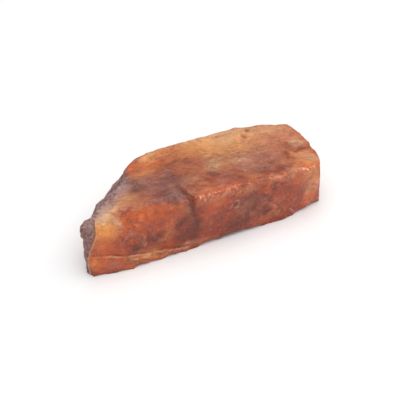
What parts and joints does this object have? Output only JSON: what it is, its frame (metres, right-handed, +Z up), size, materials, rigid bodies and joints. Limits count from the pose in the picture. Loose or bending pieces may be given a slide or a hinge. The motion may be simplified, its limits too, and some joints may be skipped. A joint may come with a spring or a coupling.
{
  "type": "raw jade stone",
  "caption": "Rough bar of orange-brown raw jade with a pointed end, broken faces, a ledge and an old crack, lying on its flat side.",
  "frame": {"origin": "middle of the flat underside, under the centre of the bounding box", "axes": "+X along the stone towards its blunt end, -Y out of the long front face, +Z up"},
  "size_m": [0.0798, 0.031, 0.0199],
  "materials": {
    "jade": "satin"
  },
  "bodies": {
    "root": {"raw_jade": "jade"}
  },
  "joints": []
}
